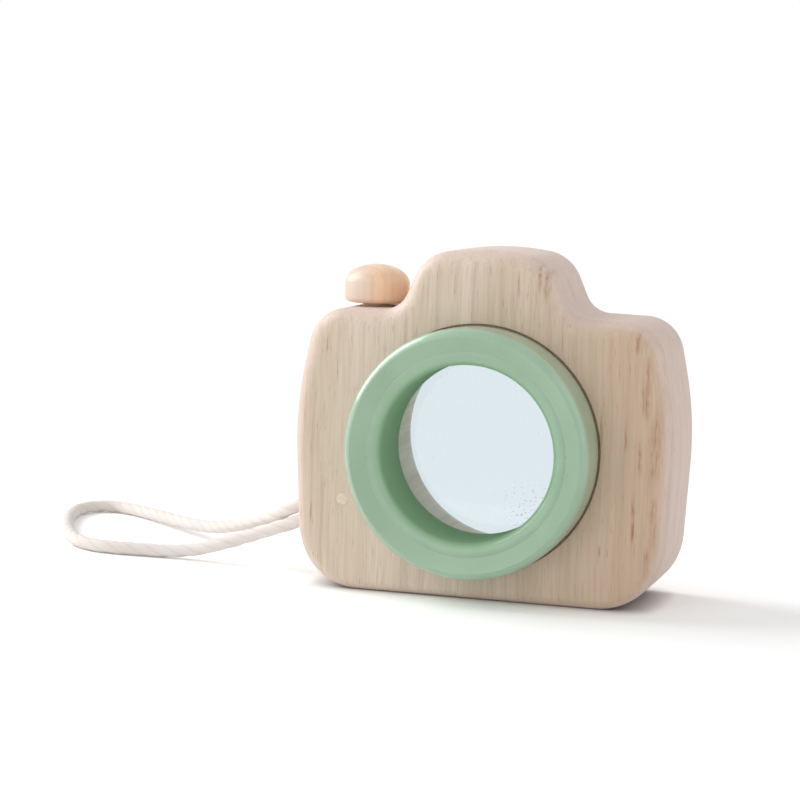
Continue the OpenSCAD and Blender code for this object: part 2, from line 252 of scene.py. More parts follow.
def twistTree(yarnStretch):  # a round tube along a path, cut in by the grooves between its twisted strands
    tree, given = newTree("twistedCord", {"Radius": "Float", "Strands": "Int", "Lay": "Float", "Groove depth": "Float",
        "Rings": "Int", "Sides": "Int"})
    path = addNode(tree, "GeometryNodeMeshToCurve", {"Mesh": given["Path"]}).outputs[0]
    path = addNode(tree, "GeometryNodeResampleCurve", {"Curve": path, "Count": given["Rings"]}).outputs[0]
    runLength = addNode(tree, "GeometryNodeSplineParameter").outputs["Length"]
    path = addNode(tree, "GeometryNodeStoreNamedAttribute", {"Geometry": path, "Name": "along", "Value": runLength},
        data_type="FLOAT", domain="POINT").outputs[0]
    section = addNode(tree, "GeometryNodeCurvePrimitiveCircle", {"Resolution": given["Sides"],
        "Radius": given["Radius"]}).outputs[0]
    wayRound = addNode(tree, "GeometryNodeSplineParameter").outputs["Factor"]
    section = addNode(tree, "GeometryNodeStoreNamedAttribute", {"Geometry": section, "Name": "around",
        "Value": wayRound}, data_type="FLOAT", domain="POINT").outputs[0]
    tube = addNode(tree, "GeometryNodeCurveToMesh", {"Curve": path, "Profile Curve": section,
        "Fill Caps": True}).outputs[0]
    along = addNode(tree, "GeometryNodeInputNamedAttribute", {"Name": "along"}, data_type="FLOAT").outputs[0]
    around = addNode(tree, "GeometryNodeInputNamedAttribute", {"Name": "around"}, data_type="FLOAT").outputs[0]
    turns = calc(tree, "SUBTRACT", calc(tree, "MULTIPLY", around, given["Strands"]),
        calc(tree, "DIVIDE", along, given["Lay"]))
    phase = calc(tree, "MULTIPLY", turns, 2 * math.pi)
    ridge = calc(tree, "ABSOLUTE", calc(tree, "COSINE", calc(tree, "MULTIPLY", phase, 0.5)))
    tube = addNode(tree, "GeometryNodeStoreNamedAttribute", {"Geometry": tube, "Name": "ridge", "Value": ridge},
        data_type="FLOAT", domain="POINT").outputs[0]
    yarn = addNode(tree, "ShaderNodeCombineXYZ", {"X": calc(tree, "COSINE", phase), "Y": calc(tree, "SINE", phase),
        "Z": calc(tree, "MULTIPLY", along, yarnStretch)}).outputs[0]
    tube = addNode(tree, "GeometryNodeStoreNamedAttribute", {"Geometry": tube, "Name": "yarn", "Value": yarn},
        data_type="FLOAT_VECTOR", domain="POINT").outputs[0]
    sink = calc(tree, "MULTIPLY", calc(tree, "SUBTRACT", calc(tree, "POWER", ridge, 0.8), 1.0),
        calc(tree, "MULTIPLY", given["Groove depth"], given["Radius"]))
    outward = addNode(tree, "GeometryNodeInputNormal").outputs[0]
    inset = addNode(tree, "ShaderNodeVectorMath", {0: outward, "Scale": sink}, operation="SCALE").outputs[0]
    tube = addNode(tree, "GeometryNodeSetPosition", {"Geometry": tube, "Offset": inset}).outputs[0]
    return endTree(tree, tube, given["Finish"])


def bakeTree(name, mesh, tree, values):  # runs a tree on a mesh and gives back the plain result
    carrier = bpy.data.objects.new(name + "Carrier", mesh)
    scene.collection.objects.link(carrier)
    modifier = carrier.modifiers.new(name, "NODES")
    modifier.node_group = tree
    for item in tree.interface.items_tree:
        if item.in_out == "INPUT" and item.name in values:
            modifier[item.identifier] = values[item.name]
    graph = bpy.context.evaluated_depsgraph_get()
    result = bpy.data.meshes.new_from_object(carrier.evaluated_get(graph), preserve_all_data_layers=True,
        depsgraph=graph)
    carrier.modifiers.remove(modifier)
    bpy.data.objects.remove(carrier)
    result.name = name
    return result


def pathMesh(name, line):
    mesh = bpy.data.meshes.new(name)
    mesh.from_pydata([tuple(p) for p in line], [(i, i + 1) for i in range(len(line) - 1)], [])
    return mesh


def makeCord(spec):
    line = smoothRoute(spec["route"], spec["between"])
    finish = cottonMaterial(cotton)
    mesh = bakeTree("wristCord", pathMesh("cordPath", line), twistTree(cotton["yarnStretch"]),
        {"Radius": spec["diameter"] / 2 * mm, "Strands": spec["strands"], "Lay": spec["lay"] * mm,
            "Groove depth": spec["grooveDepth"], "Rings": spec["rings"], "Sides": spec["sides"], "Finish": finish})
    cord = newPiece("wristCord", mesh, finish, "camera", "cotton_cord", "wrist_cord")


makeCord(cordSpec)


# wood: fine fibres along one axis, faint growth rings about a far centre, pores, and brown streaks where asked for

# the block turns warmer and darker towards the right: the warmer tone is the wood's own, and the darkening is painted
# shade for the light falling off from the left
blockWood = {"grain": "Z", "pale": (229, 211, 194), "rightTone": (210, 181, 157), "deep": (211, 193, 168),
    "line": (184, 158, 132), "pore": (146, 112, 88), "streak": (166, 114, 82), "ringCentre": (-70, 190), "ringGap": 6.5,
    "ringShare": 0.08, "fibreShare": 0.4, "hairShare": 0.3, "poreShare": 0.45, "rightFrom": -4, "rightTo": 40,
    "rightSway": 30.0, "coat": 0.0, "roughLow": 0.42, "roughHigh": 0.56, "roll": (223, 202, 193),
    "rollDeep": (214, 190, 176), "rollShare": 0.75,
    "streaks": [(29.9, 0.3, 35, 49, 0.8), (36.0, 0.25, 37, 45.5, 0.8), (38.1, 0.3, 14, 30, 0.9),
        (37.9, 0.4, 60, 67, 0.7), (40.4, 1.0, 42, 63, 0.7), (42.8, 0.6, 13, 30, 0.75), (41.6, 0.5, 7, 17, 0.7),
        (42.7, 1.1, 25, 51, 0.65), (39.4, 0.4, 31, 42, 0.8), (29.3, 0.25, 38, 43, 0.6), (30.5, 0.25, 12, 16, 0.6),
        (13.8, 0.4, 73, 82, 0.7), (9.1, 0.25, 68, 80, 0.5), (15.7, 0.5, 71, 81, 0.65), (-38.0, 0.25, 57, 62, 0.6),
        (-41.1, 0.3, 15, 22, 0.5)]}

sleeveWood = {"grain": "Y", "pale": (250, 240, 224), "rightTone": (244, 230, 210), "deep": (238, 224, 200),
    "line": (206, 190, 166), "pore": (150, 126, 104), "ringCentre": (40, 90), "ringGap": 3.4, "ringShare": 0.2,
    "fibreShare": 0.35, "hairShare": 0.2, "poreShare": 0.3, "rightFrom": -24, "rightTo": 24, "rightSway": 30.0,
    "coat": 0.0, "roughLow": 0.45, "roughHigh": 0.58}

# on the cap the greyer pale left half is painted to the highlight's colour, and the brighter warm right half is painted
# bounce light from the hump
buttonWood = {"grain": "Z", "pale": (228, 208, 194), "rightTone": (252, 214, 178), "deep": (226, 190, 162),
    "line": (216, 174, 140), "pore": (176, 130, 98), "ringCentre": (-46, -30), "ringGap": 3.2, "ringShare": 0.15,
    "fibreShare": 0.25, "hairShare": 0.15, "poreShare": 0.2, "rightFrom": -36, "rightTo": -26, "rightSway": 8.0,
    "coat": 0.35, "roughLow": 0.32, "roughHigh": 0.42}

pinWood = {"grain": "Y", "pale": (236, 220, 196), "rightTone": (232, 215, 190), "deep": (228, 212, 184),
    "line": (206, 186, 160), "pore": (180, 150, 122), "ringCentre": (-36, 14), "ringGap": 1.1, "ringShare": 0.25,
    "fibreShare": 0.2, "hairShare": 0.1, "poreShare": 0.2, "rightFrom": -40, "rightTo": -28, "rightSway": 30.0,
    "coat": 0.0, "roughLow": 0.45, "roughHigh": 0.6}

# scale across the grain, scale along it, and sideways sway in mm
figure = {"fibres": (0.9, 0.02, 3.0), "hairs": (3.4, 0.09, 3.0), "broad": (0.11, 0.012, 6.0), "pores": (3.0, 0.2, 2.0),
    "wander": (0.5, 0.13, 0.0), "breaks": (1.6, 0.35, 0.0), "slow": (0.05, 0.03), "ringSway": 7.0, "streakSway": 1.6}


def woodMaterial(name, spec):
    material, tree, shader = newMaterial(name)
    place = inMillimetres(tree)
    split = addNode(tree, "ShaderNodeSeparateXYZ", {"Vector": place}).outputs
    first, second, lengthways = (split["X"], split["Y"], split["Z"]) if spec["grain"] == "Z" else \
        (split["X"], split["Z"], split["Y"])

    def drawnOut(x, across, lengthwise):  # coordinates drawn out along the grain
        scaled = {"X": calc(tree, "MULTIPLY", x, across), "Y": calc(tree, "MULTIPLY", second, across),
            "Z": calc(tree, "MULTIPLY", lengthways, lengthwise)}
        return addNode(tree, "ShaderNodeCombineXYZ", scaled).outputs[0]

    slow = cloud(tree, drawnOut(first, *figure["slow"]))

    def swayed(source, amount):  # a sideways shift of the grain, in mm
        return calc(tree, "ADD", first, calc(tree, "MULTIPLY", calc(tree, "SUBTRACT", source, 0.5), amount))

    def grainCloud(part, detail=2.0, roughness=0.5):
        across, lengthwise, sway = figure[part]
        return cloud(tree, drawnOut(swayed(slow, sway), across, lengthwise), detail=detail, roughness=roughness)

    fibres = grainCloud("fibres", detail=4.0, roughness=0.6)
    hairs = grainCloud("hairs")
    broad = grainCloud("broad")
    pores = stretch(tree, grainCloud("pores"), 0.64, 0.76, smooth=True)
    fromPith = addNode(tree, "ShaderNodeCombineXYZ", {"X": calc(tree, "SUBTRACT", first, spec["ringCentre"][0]),
        "Y": calc(tree, "SUBTRACT", second, spec["ringCentre"][1])}).outputs[0]
    radius = addNode(tree, "ShaderNodeVectorMath", {0: fromPith}, operation="LENGTH").outputs["Value"]
    radius = calc(tree, "ADD", radius, calc(tree, "MULTIPLY", broad, figure["ringSway"]))
    waves = calc(tree, "SINE", calc(tree, "MULTIPLY", radius, 2 * math.pi / spec["ringGap"]))
    rings = stretch(tree, waves, -0.3, 1.0, smooth=True)

    # pale on the left, the right-side colour towards the right: on the block the darkening is painted shade, and on the
    # button the split is a painted highlight and painted bounce light
    side = swayed(broad, spec["rightSway"])
    colour = blendColours(tree, stretch(tree, side, spec["rightFrom"], spec["rightTo"], smooth=True),
        shade(*spec["pale"]), shade(*spec["rightTone"]))
    colour = blendColours(tree, stretch(tree, broad, 0.46, 0.66, 0.0, 0.6, smooth=True), colour, shade(*spec["deep"]))
    lines = calc(tree, "ADD", calc(tree, "MULTIPLY", rings, spec["ringShare"]),
        stretch(tree, fibres, 0.45, 0.75, 0.0, spec["fibreShare"]))
    lines = calc(tree, "ADD", lines, stretch(tree, hairs, 0.45, 0.75, 0.0, spec["hairShare"]), clamp=True)
    if "roll" in spec:  # pinker where the wood turns from the flat front, with speckled end grain on top and below
        normal = addNode(tree, "ShaderNodeNewGeometry").outputs["Normal"]
        faces = addNode(tree, "ShaderNodeSeparateXYZ", {"Vector": normal}).outputs
        turned = stretch(tree, calc(tree, "ABSOLUTE", faces["Y"]), 0.97, 0.6, 0.0, spec["rollShare"], smooth=True)
        endGrain = stretch(tree, calc(tree, "ABSOLUTE", faces["Z"]), 0.35, 0.9, smooth=True)
        speckle = stretch(tree, cloud(tree, place, scale=1.1, detail=4.0, roughness=0.65), 0.42, 0.66)
        colour = blendColours(tree, turned, colour, shade(*spec["roll"]))
        colour = blendColours(tree, calc(tree, "MULTIPLY", speckle, calc(tree, "MULTIPLY", endGrain, 0.6)), colour,
            shade(*spec["rollDeep"]))
        lines = calc(tree, "MULTIPLY", lines, stretch(tree, endGrain, 0.0, 1.0, 1.0, 0.25))
        lines = calc(tree, "MULTIPLY", lines, stretch(tree, turned, 0.0, 1.0, 1.0, 0.55))
    colour = blendColours(tree, lines, colour, shade(*spec["line"]))
    colour = blendColours(tree, calc(tree, "MULTIPLY", pores, spec["poreShare"]), colour, shade(*spec["pore"]))
    if "streaks" in spec:  # each streak is (x, half width, lower z, upper z, strength), in the front of the block
        x = swayed(grainCloud("wander", detail=3.0), figure["streakSway"])
        marks = 0.0
        for centre, half, low, high, strength in spec["streaks"]:
            near = calc(tree, "DIVIDE", calc(tree, "ABSOLUTE", calc(tree, "SUBTRACT", x, centre)), half * 2)
            near = stretch(tree, near, 1.0, 0.1, smooth=True)
            fade = (high - low) * 0.35
            near = calc(tree, "MULTIPLY", near, stretch(tree, lengthways, low, low + fade, smooth=True))
            near = calc(tree, "MULTIPLY", near, stretch(tree, lengthways, high, high - fade, smooth=True))
            marks = calc(tree, "MAXIMUM", marks, calc(tree, "MULTIPLY", near, strength))
        depth = stretch(tree, second, -5.0, 2.0, 1.0, 0.0, smooth=True)
        broken = calc(tree, "MULTIPLY", stretch(tree, hairs, 0.32, 0.6, 0.35, 1.0),
            stretch(tree, grainCloud("breaks", detail=3.0), 0.36, 0.6, 0.3, 1.0))
        colour = blendColours(tree, calc(tree, "MULTIPLY", calc(tree, "MULTIPLY", marks, depth), broken), colour,
            shade(*spec["streak"]))
    tree.links.new(colour, shader.inputs["Base Color"])
    tree.links.new(stretch(tree, fibres, 0.3, 0.7, spec["roughLow"], spec["roughHigh"]), shader.inputs["Roughness"])
    height = calc(tree, "SUBTRACT", calc(tree, "MULTIPLY", hairs, 0.4), pores)
    addBump(tree, shader, height, 0.15, 0.0001)
    setInputs(shader, {"Specular IOR Level": 0.4, "Coat Weight": spec["coat"], "Coat Roughness": 0.35})
    return material


# block: the outline with rounded corners, drawn between rolled front and back edges, then bored

blockSpec = {"front": -9.2, "back": 22, "edge": 4.4, "baseEdge": 2.2, "flatRim": 0.35, "cornerSteps": 18,
    "rollSteps": 10, "corners": [(44.75, 0, 16), (47, 44, 88), (42, 67.9, 9.6), (21.1, 68.3, 6.6), (15.1, 82.1, 10.4)],
    "crown": (0, 83.9, 78)}

holeSpec = {"lens": {"at": (0, -9.2, 36.2), "bore": 26.75, "recess": 29.85, "recessFrom": 27.5,
        "groove": (28.6, 29.95, 2.0)},
    "button": {"at": (-30.8, 6.4), "floor": 47.114, "seat": 68.114, "radius": 3.6, "bevel": 0.6},
    "crossPin": {"at": (-30.8, -1.2, 60.114), "radius": 1.3, "depth": 26},
    "cord": {"at": (-33.375, 6.4, 22), "slope": 23, "radius": 3.8, "behind": 3.6, "mouth": 13.58, "bevel": 0.8,
        "over": 5},
    "cordPin": {"at": (-33.375, -9.2, 22), "radius": 1.55, "depth": 23.4}, "over": 2}


def cornerArc(before, corner, after, steps):  # rounded corner of an outline as (point, outward normal)
    point = Vector(corner[:2])
    u, v = (Vector(before[:2]) - point), (Vector(after[:2]) - point)
    room = 0.49 * min(u.length, v.length)
    u.normalize()
    v.normalize()
    half = math.acos(u.dot(v)) / 2
    reach = min(corner[2] / math.tan(half), room)
    radius = reach * math.tan(half)
    centre = point + (u + v).normalized() * (radius / math.sin(half))
    start = (point + u * reach - centre).normalized()
    turn = math.pi - 2 * half
    bend = 1 if u.x * v.y - u.y * v.x > 0 else -1
    arc = []
    for i in range(steps + 1):
        a = -bend * turn * i / steps
        d = Vector((start.x * math.cos(a) - start.y * math.sin(a), start.x * math.sin(a) + start.y * math.cos(a)))
        arc.append((centre + d * radius, d * -bend))
    return arc


def latheMesh(name, profile, axis, steps=96, closed=False):  # profile is (radius, place along the axis), in mm
    bm = bmesh.new()
    rows = []
    for radius, along in profile:
        if radius < 1e-6:
            rows.append([bm.verts.new(axis @ Vector((0, 0, along * mm)))])
        else:
            rows.append([bm.verts.new(axis @ Vector((radius * mm * math.cos(2 * math.pi * k / steps),
                radius * mm * math.sin(2 * math.pi * k / steps), along * mm))) for k in range(steps)])
    for a, b in zip(rows, rows[1:] + (rows[:1] if closed else [])):
        if len(a) == 1 and len(b) == 1:
            continue
        for k in range(steps):
            n = (k + 1) % steps
            if len(a) == 1:
                bm.faces.new((a[0], b[n], b[k]))
            elif len(b) == 1:
                bm.faces.new((a[k], a[n], b[0]))
            else:
                bm.faces.new((a[k], a[n], b[n], b[k]))
    bmesh.ops.recalc_face_normals(bm, faces=bm.faces)
    return meshFrom(bm, name)


def axisAt(place, direction):  # local Z runs along the direction, from the place
    turn = Vector((0, 0, 1)).rotation_difference(Vector(direction))
    return Matrix.Translation(Vector(place) * mm) @ turn.to_matrix().to_4x4()


def roundOff(mesh, angle=32):
    mesh.polygons.foreach_set("use_smooth", [True] * len(mesh.polygons))
    mesh.set_sharp_from_angle(angle=math.radians(angle))
    mesh.update()
    return mesh


def roundArc(centre, radius, start, stop, steps=8):
    angles = [math.radians(start + (stop - start) * i / steps) for i in range(steps + 1)]
    return [(centre[0] + radius * math.cos(a), centre[1] + radius * math.sin(a)) for a in angles]


def blockMesh(spec):
    right = spec["corners"]
    corners = right + [spec["crown"]] + [(-x, z, r) for x, z, r in reversed(right)]
    count = len(corners)
    outline = []
    for i in range(count):
        outline += cornerArc(corners[i - 1], corners[i], corners[(i + 1) % count], spec["cornerSteps"])
    steps, front, back = spec["rollSteps"], spec["front"], spec["back"]
    angles = [math.pi / 2 * k / steps for k in range(steps + 1)]
    stations = [(0, spec["flatRim"], 1)] + [(a, 0, 1) for a in angles] + [(a, 0, -1) for a in reversed(angles)] + \
        [(0, spec["flatRim"], -1)]  # angle round the roll, extra inset, and 1 at the front or -1 at the back
    bm = bmesh.new()
    rows = []
    for angle, extra, end in stations:
        row = []
        for p, n in outline:
            low = min(max((-n.y - 0.3) / 0.6, 0), 1)
            edge = spec["edge"] + (spec["baseEdge"] - spec["edge"]) * low
            inset, depth = edge * (1 - math.sin(angle)) + extra, edge * (1 - math.cos(angle))
            row.append(bm.verts.new(Vector((p.x - n.x * inset, (front + depth) if end > 0 else (back - depth),
                p.y - n.y * inset)) * mm))
        rows.append(row)
    size = len(outline)
    for a, b in zip(rows, rows[1:]):
        for k in range(size):
            n = (k + 1) % size
            bm.faces.new((a[k], a[n], b[n], b[k]))
    bm.faces.new(rows[0])
    bm.faces.new(rows[-1])
    bmesh.ops.remove_doubles(bm, verts=bm.verts, dist=1e-6)
    bmesh.ops.recalc_face_normals(bm, faces=bm.faces)
    return meshFrom(bm, "cameraBlock")


def blockCutters(spec, holes):
    lens, button, cross, cord, pin = (holes[k] for k in ("lens", "button", "crossPin", "cord", "cordPin"))
    over, cordOver = holes["over"], cord["over"]  # a cutter goes past the wood by this much
    past = spec["back"] - spec["front"] + over
    slope = math.radians(cord["slope"])
    inner, outer, depth = lens["groove"]  # a dark line round the ring's foot
    return [
        latheMesh("lensBore", [(0, -over), (lens["bore"], -over), (lens["bore"], lens["recessFrom"]),
            (lens["recess"], lens["recessFrom"]), (lens["recess"], past), (0, past)],
            axisAt(lens["at"], (0, 1, 0)), 128),
        latheMesh("ringGroove", [(inner, -1), (outer, -1), (outer, depth), (inner, depth)],
            axisAt(lens["at"], (0, 1, 0)), 160, closed=True),
        latheMesh("buttonHole", [(0, button["floor"]), (button["radius"], button["floor"]),
            (button["radius"], button["seat"] - button["bevel"]),
            (button["radius"] + button["bevel"] + over, button["seat"] + over), (0, button["seat"] + over)],
            axisAt((*button["at"], 0), (0, 0, 1)), 64),
        latheMesh("crossPinHole", [(0, 0), (cross["radius"], 0), (cross["radius"], cross["depth"]),
            (0, cross["depth"])], axisAt(cross["at"], (0, 1, 0)), 32),
        latheMesh("cordHole", [(0, -cord["behind"]), (cord["radius"], -cord["behind"]),
            (cord["radius"], cord["mouth"] - cord["bevel"]),
            (cord["radius"] + cord["bevel"] + cordOver, cord["mouth"] + cordOver), (0, cord["mouth"] + cordOver)],
            axisAt(cord["at"], (-math.cos(slope), 0, -math.sin(slope))), 64),
        latheMesh("cordPinHole", [(0, -over), (pin["radius"], -over), (pin["radius"], pin["depth"]),
            (0, pin["depth"])], axisAt(pin["at"], (0, 1, 0)), 40)]


def makeBlock(spec, holes):
    carrier = bpy.data.objects.new("blockCarrier", blockMesh(spec))
    scene.collection.objects.link(carrier)
    helpers = []
    for cutter in blockCutters(spec, holes):
        helper = bpy.data.objects.new(cutter.name, cutter)
        scene.collection.objects.link(helper)
        helpers.append(helper)
        cut = carrier.modifiers.new(cutter.name, "BOOLEAN")
        cut.operation, cut.solver, cut.object = "DIFFERENCE", "EXACT", helper
    graph = bpy.context.evaluated_depsgraph_get()
    bored = bpy.data.meshes.new_from_object(carrier.evaluated_get(graph), depsgraph=graph)
    for helper in [carrier] + helpers:
        bpy.data.objects.remove(helper)
    bored.name = "cameraBlock"
    newPiece("cameraBlock", roundOff(bored), woodMaterial("blockWood", blockWood), "camera", "block_wood",
        "body_block")
    print("block made,", len(bored.polygons), "faces")


makeBlock(blockSpec, holeSpec)


# lens: painted ring, plain sleeve behind it, clear disc on the sleeve's ledge

lensSpec = {"at": (0, -9.2, 36.2), "ring": 29.6, "bore": 20.9, "face": -12.8, "gap": 0.6, "edge": 2.8, "lip": 2.4,
    "dish": 1.4, "rear": 0.4, "tenon": 25.1, "tenonEnd": 4.7, "socket": 25.15, "sleeve": 26.65, "sleeveBore": 24.4,
    "flange": 29.45, "flangeFace": 27.8, "sleeveEnd": 30.8, "eyeEdge": 1.2, "discFront": 4.9, "discBack": 7.9,
    "discEdge": 0.5}

# the bore colour is painted shade: a separate tone for the shaded inside of the ring
mintPaint = {"colour": (156, 187, 159), "deep": (150, 181, 153), "bore": (152, 190, 152), "pit": (104, 130, 108),
    "coat": 0.4, "rimCoat": 1.0, "specular": 0.5, "roughLow": 0.32, "roughHigh": 0.4}

clearDisc = {"tint": (217, 229, 234), "mark": (200, 208, 212), "speck": (164, 165, 162),
    "speckPlace": ((12, -14), 8.5), "scratches": ((0.6, 1.3), (-0.35, 1.9), (1.35, 1.1)), "scratchScale": (3.6, 0.3, 1),
    "scratchDull": 0.2, "speckDull": 0.28, "ior": 1.49}


def mintMaterial(spec, lens):
    material, tree, shader = newMaterial("mintPaint")
    place = inMillimetres(tree)
    clouds = cloud(tree, place, scale=0.07, detail=2.0)
    grain = cloud(tree, place, scale=0.8, detail=3.0)
    pits = stretch(tree, cloud(tree, place, scale=1.1, detail=1.0), 0.76, 0.80, smooth=True)
    colour = blendColours(tree, stretch(tree, clouds, 0.35, 0.65, smooth=True), shade(*spec["colour"]),
        shade(*spec["deep"]))
    fromAxis = roundAxis(tree, inMillimetres(tree, shift=(0, 0, -lens["at"][2])))[1]
    inBore = stretch(tree, fromAxis, lens["bore"] + 2.6, lens["bore"] - 0.4, smooth=True)
    colour = blendColours(tree, inBore, colour, shade(*spec["bore"]))  # a greener colour in the bore is painted shade, set to the tone of the shaded bore
    colour = blendColours(tree, calc(tree, "MULTIPLY", pits, 0.6), colour, shade(*spec["pit"]))
    tree.links.new(colour, shader.inputs["Base Color"])
    tree.links.new(stretch(tree, grain, 0.3, 0.7, spec["roughLow"], spec["roughHigh"]), shader.inputs["Roughness"])
    height = calc(tree, "SUBTRACT", calc(tree, "MULTIPLY", grain, 0.3), pits)
    addBump(tree, shader, height, 0.1, 0.0001)
    matt = stretch(tree, fromAxis, lens["bore"] + 0.5, lens["bore"] + 0.05, smooth=True)
    tree.links.new(stretch(tree, matt, 0.0, 1.0, spec["specular"], 0.0), shader.inputs["Specular IOR Level"])
    gloss = stretch(tree, fromAxis, lens["ring"] - lens["edge"], lens["ring"] - 1.0, spec["coat"], spec["rimCoat"])
    gloss = calc(tree, "MULTIPLY", gloss, calc(tree, "SUBTRACT", 1.0, matt))
    tree.links.new(gloss, shader.inputs["Coat Weight"])
    setInputs(shader, {"Coat Roughness": 0.1})
    return material


def discMaterial(spec, lens):
    material, tree, shader = newMaterial("clearDisc")
    place = inMillimetres(tree, shift=(0, 0, -lens["at"][2]))
    flat, fromCentre = roundAxis(tree, place)
    along = addNode(tree, "ShaderNodeSeparateXYZ", {"Vector": place}).outputs["Y"]
    frontFace = calc(tree, "LESS_THAN", along, lens["at"][1] + lens["discFront"] + 0.3)
    (x, z), reach = spec["speckPlace"]
    away = addNode(tree, "ShaderNodeVectorMath", {0: flat, 1: (x, z, 0)}, operation="DISTANCE").outputs["Value"]
    dots = stretch(tree, cloud(tree, flat, scale=1.5, detail=1.0), 0.64, 0.7, smooth=True)
    specks = calc(tree, "MULTIPLY", stretch(tree, away, reach, reach * 0.3, smooth=True), dots)
    specks = calc(tree, "MULTIPLY", specks, frontFace)
    scratches = 0.0
    for turn, scale in spec["scratches"]:  # hairlines run three ways
        lines = addNode(tree, "ShaderNodeMapping", {"Vector": flat, "Rotation": (0, 0, turn),
            "Scale": spec["scratchScale"]}).outputs[0]
        hairlines = stretch(tree, cloud(tree, lines, scale=scale, detail=1.0), 0.73, 0.78, smooth=True)
        scratches = calc(tree, "MAXIMUM", scratches, hairlines)
    worn = calc(tree, "MULTIPLY", frontFace, stretch(tree, fromCentre, 8.0, 20.0, 0.3, 1.0))
    scratches = calc(tree, "MULTIPLY", scratches, worn)
    colour = blendColours(tree, scratches, shade(*spec["tint"]), shade(*spec["mark"]))
    colour = blendColours(tree, specks, colour, shade(*spec["speck"]))
    tree.links.new(colour, shader.inputs["Base Color"])
    marks = calc(tree, "MAXIMUM", calc(tree, "MULTIPLY", scratches, spec["scratchDull"]),
        calc(tree, "MULTIPLY", specks, spec["speckDull"]))
    tree.links.new(calc(tree, "SUBTRACT", 1.0, marks), shader.inputs["Transmission Weight"])
    setInputs(shader, {"Roughness": 0.0, "IOR": spec["ior"]})
    return material


def makeLens(spec):
    axis = axisAt(spec["at"], (0, 1, 0))
    face, gap = spec["face"], spec["gap"]
    lip = face + spec["dish"] + spec["lip"]  # the front is a little dished, so the lip lies deeper than the rim
    slope = math.degrees(math.atan2(spec["dish"], spec["ring"] - spec["edge"] - spec["bore"] - spec["lip"]))
    ring = roundArc((spec["bore"] + spec["lip"], lip), spec["lip"], 270 + slope, 180, 14) + \
        [(spec["bore"], lip + 0.3), (spec["bore"], spec["tenonEnd"]), (spec["tenon"], spec["tenonEnd"]),
            (spec["tenon"], -gap)] + \
        roundArc((spec["ring"] - spec["rear"], -gap - spec["rear"]), spec["rear"], 90, 0, 6) + \
        [(spec["ring"], -gap - spec["rear"] - 0.3), (spec["ring"], face + spec["edge"] + 0.3)] + \
        roundArc((spec["ring"] - spec["edge"], face + spec["edge"]), spec["edge"], 0, slope - 90, 14)
    newPiece("lensRing", roundOff(latheMesh("lensRing", ring, axis, 160, closed=True)), mintMaterial(mintPaint, spec),
        "lens", "mint_paint", "lens_ring")
    eye, end, seat, bore = (spec[key] for key in ("eyeEdge", "sleeveEnd", "discBack", "sleeveBore"))
    sleeve = [(spec["sleeve"], -gap), (spec["socket"], -gap), (spec["socket"], seat), (bore, seat),
        (bore, end - eye - 0.3)] + roundArc((bore + eye, end - eye), eye, 180, 90) + \
        [(bore + eye + 0.3, end), (spec["flange"] - eye - 0.3, end)] + \
        roundArc((spec["flange"] - eye, end - eye), eye, 90, 0) + \
        [(spec["flange"], spec["flangeFace"]), (spec["sleeve"], spec["flangeFace"])]
    newPiece("lensSleeve", roundOff(latheMesh("lensSleeve", sleeve, axis, 160, closed=True)),
        woodMaterial("sleeveWood", sleeveWood), "lens", "turned_wood", "lens_sleeve")
    radius, edge = spec["tenon"], spec["discEdge"]
    disc = [(0, spec["discFront"]), (radius - edge - 0.4, spec["discFront"])] + \
        roundArc((radius - edge, spec["discFront"] + edge), edge, -90, 0, 5) + \
        roundArc((radius - edge, spec["discBack"] - edge), edge, 0, 90, 5) + [(0, spec["discBack"])]
    newPiece("lensDisc", roundOff(latheMesh("lensDisc", disc, axis, 160)), discMaterial(clearDisc, spec), "lens",
        "clear_disc", "lens_disc")
    print("lens made")


makeLens(lensSpec)


# shutter button: domed cap on its dowel, over a steel spring

buttonSpec = {"at": (-30.8, 6.4), "capFoot": 68.95, "radius": 8, "rim": 4.664, "dome": 4.7, "footEdge": 1.5,
    "domeSteps": 24, "socket": 3.55, "socketDepth": 5.27}

springSpec = {"at": (-30.8, 6.4), "from": 47.164, "to": 55.064, "coil": 2.65, "wire": 0.7, "curls": 5, "sides": 14,
    "stepsPerCurl": 40, "travel": 0.5}

steel = {"pale": (188, 188, 190), "dark": (166, 166, 170), "roughLow": 0.24, "roughHigh": 0.4}


def steelMaterial(spec):
    material, tree, shader = newMaterial("springSteel")
    drawn = cloud(tree, inMillimetres(tree), scale=3.0, detail=3.0)
    colour = blendColours(tree, stretch(tree, drawn, 0.35, 0.65), shade(*spec["pale"]), shade(*spec["dark"]))
    tree.links.new(colour, shader.inputs["Base Color"])
    tree.links.new(stretch(tree, drawn, 0.3, 0.7, spec["roughLow"], spec["roughHigh"]), shader.inputs["Roughness"])
    setInputs(shader, {"Metallic": 1.0})
    return material


def wireTree():  # a round wire along a helix
    tree, given = newTree("springWire", {"Curls": "Float", "Steps": "Int", "Coil radius": "Float", "Rise": "Float",
        "Wire radius": "Float", "Sides": "Int", "Place": "Vector"})
    helix = addNode(tree, "GeometryNodeCurveSpiral", {"Resolution": given["Steps"], "Rotations": given["Curls"],
        "Start Radius": given["Coil radius"], "End Radius": given["Coil radius"], "Height": given["Rise"]}).outputs[0]
    wire = addNode(tree, "GeometryNodeCurvePrimitiveCircle", {"Resolution": given["Sides"],
        "Radius": given["Wire radius"]}).outputs[0]
    tube = addNode(tree, "GeometryNodeCurveToMesh", {"Curve": helix, "Profile Curve": wire,
        "Fill Caps": True}).outputs[0]
    tube = addNode(tree, "GeometryNodeTransform", {"Geometry": tube, "Translation": given["Place"]}).outputs[0]
    return endTree(tree, tube, given["Finish"])


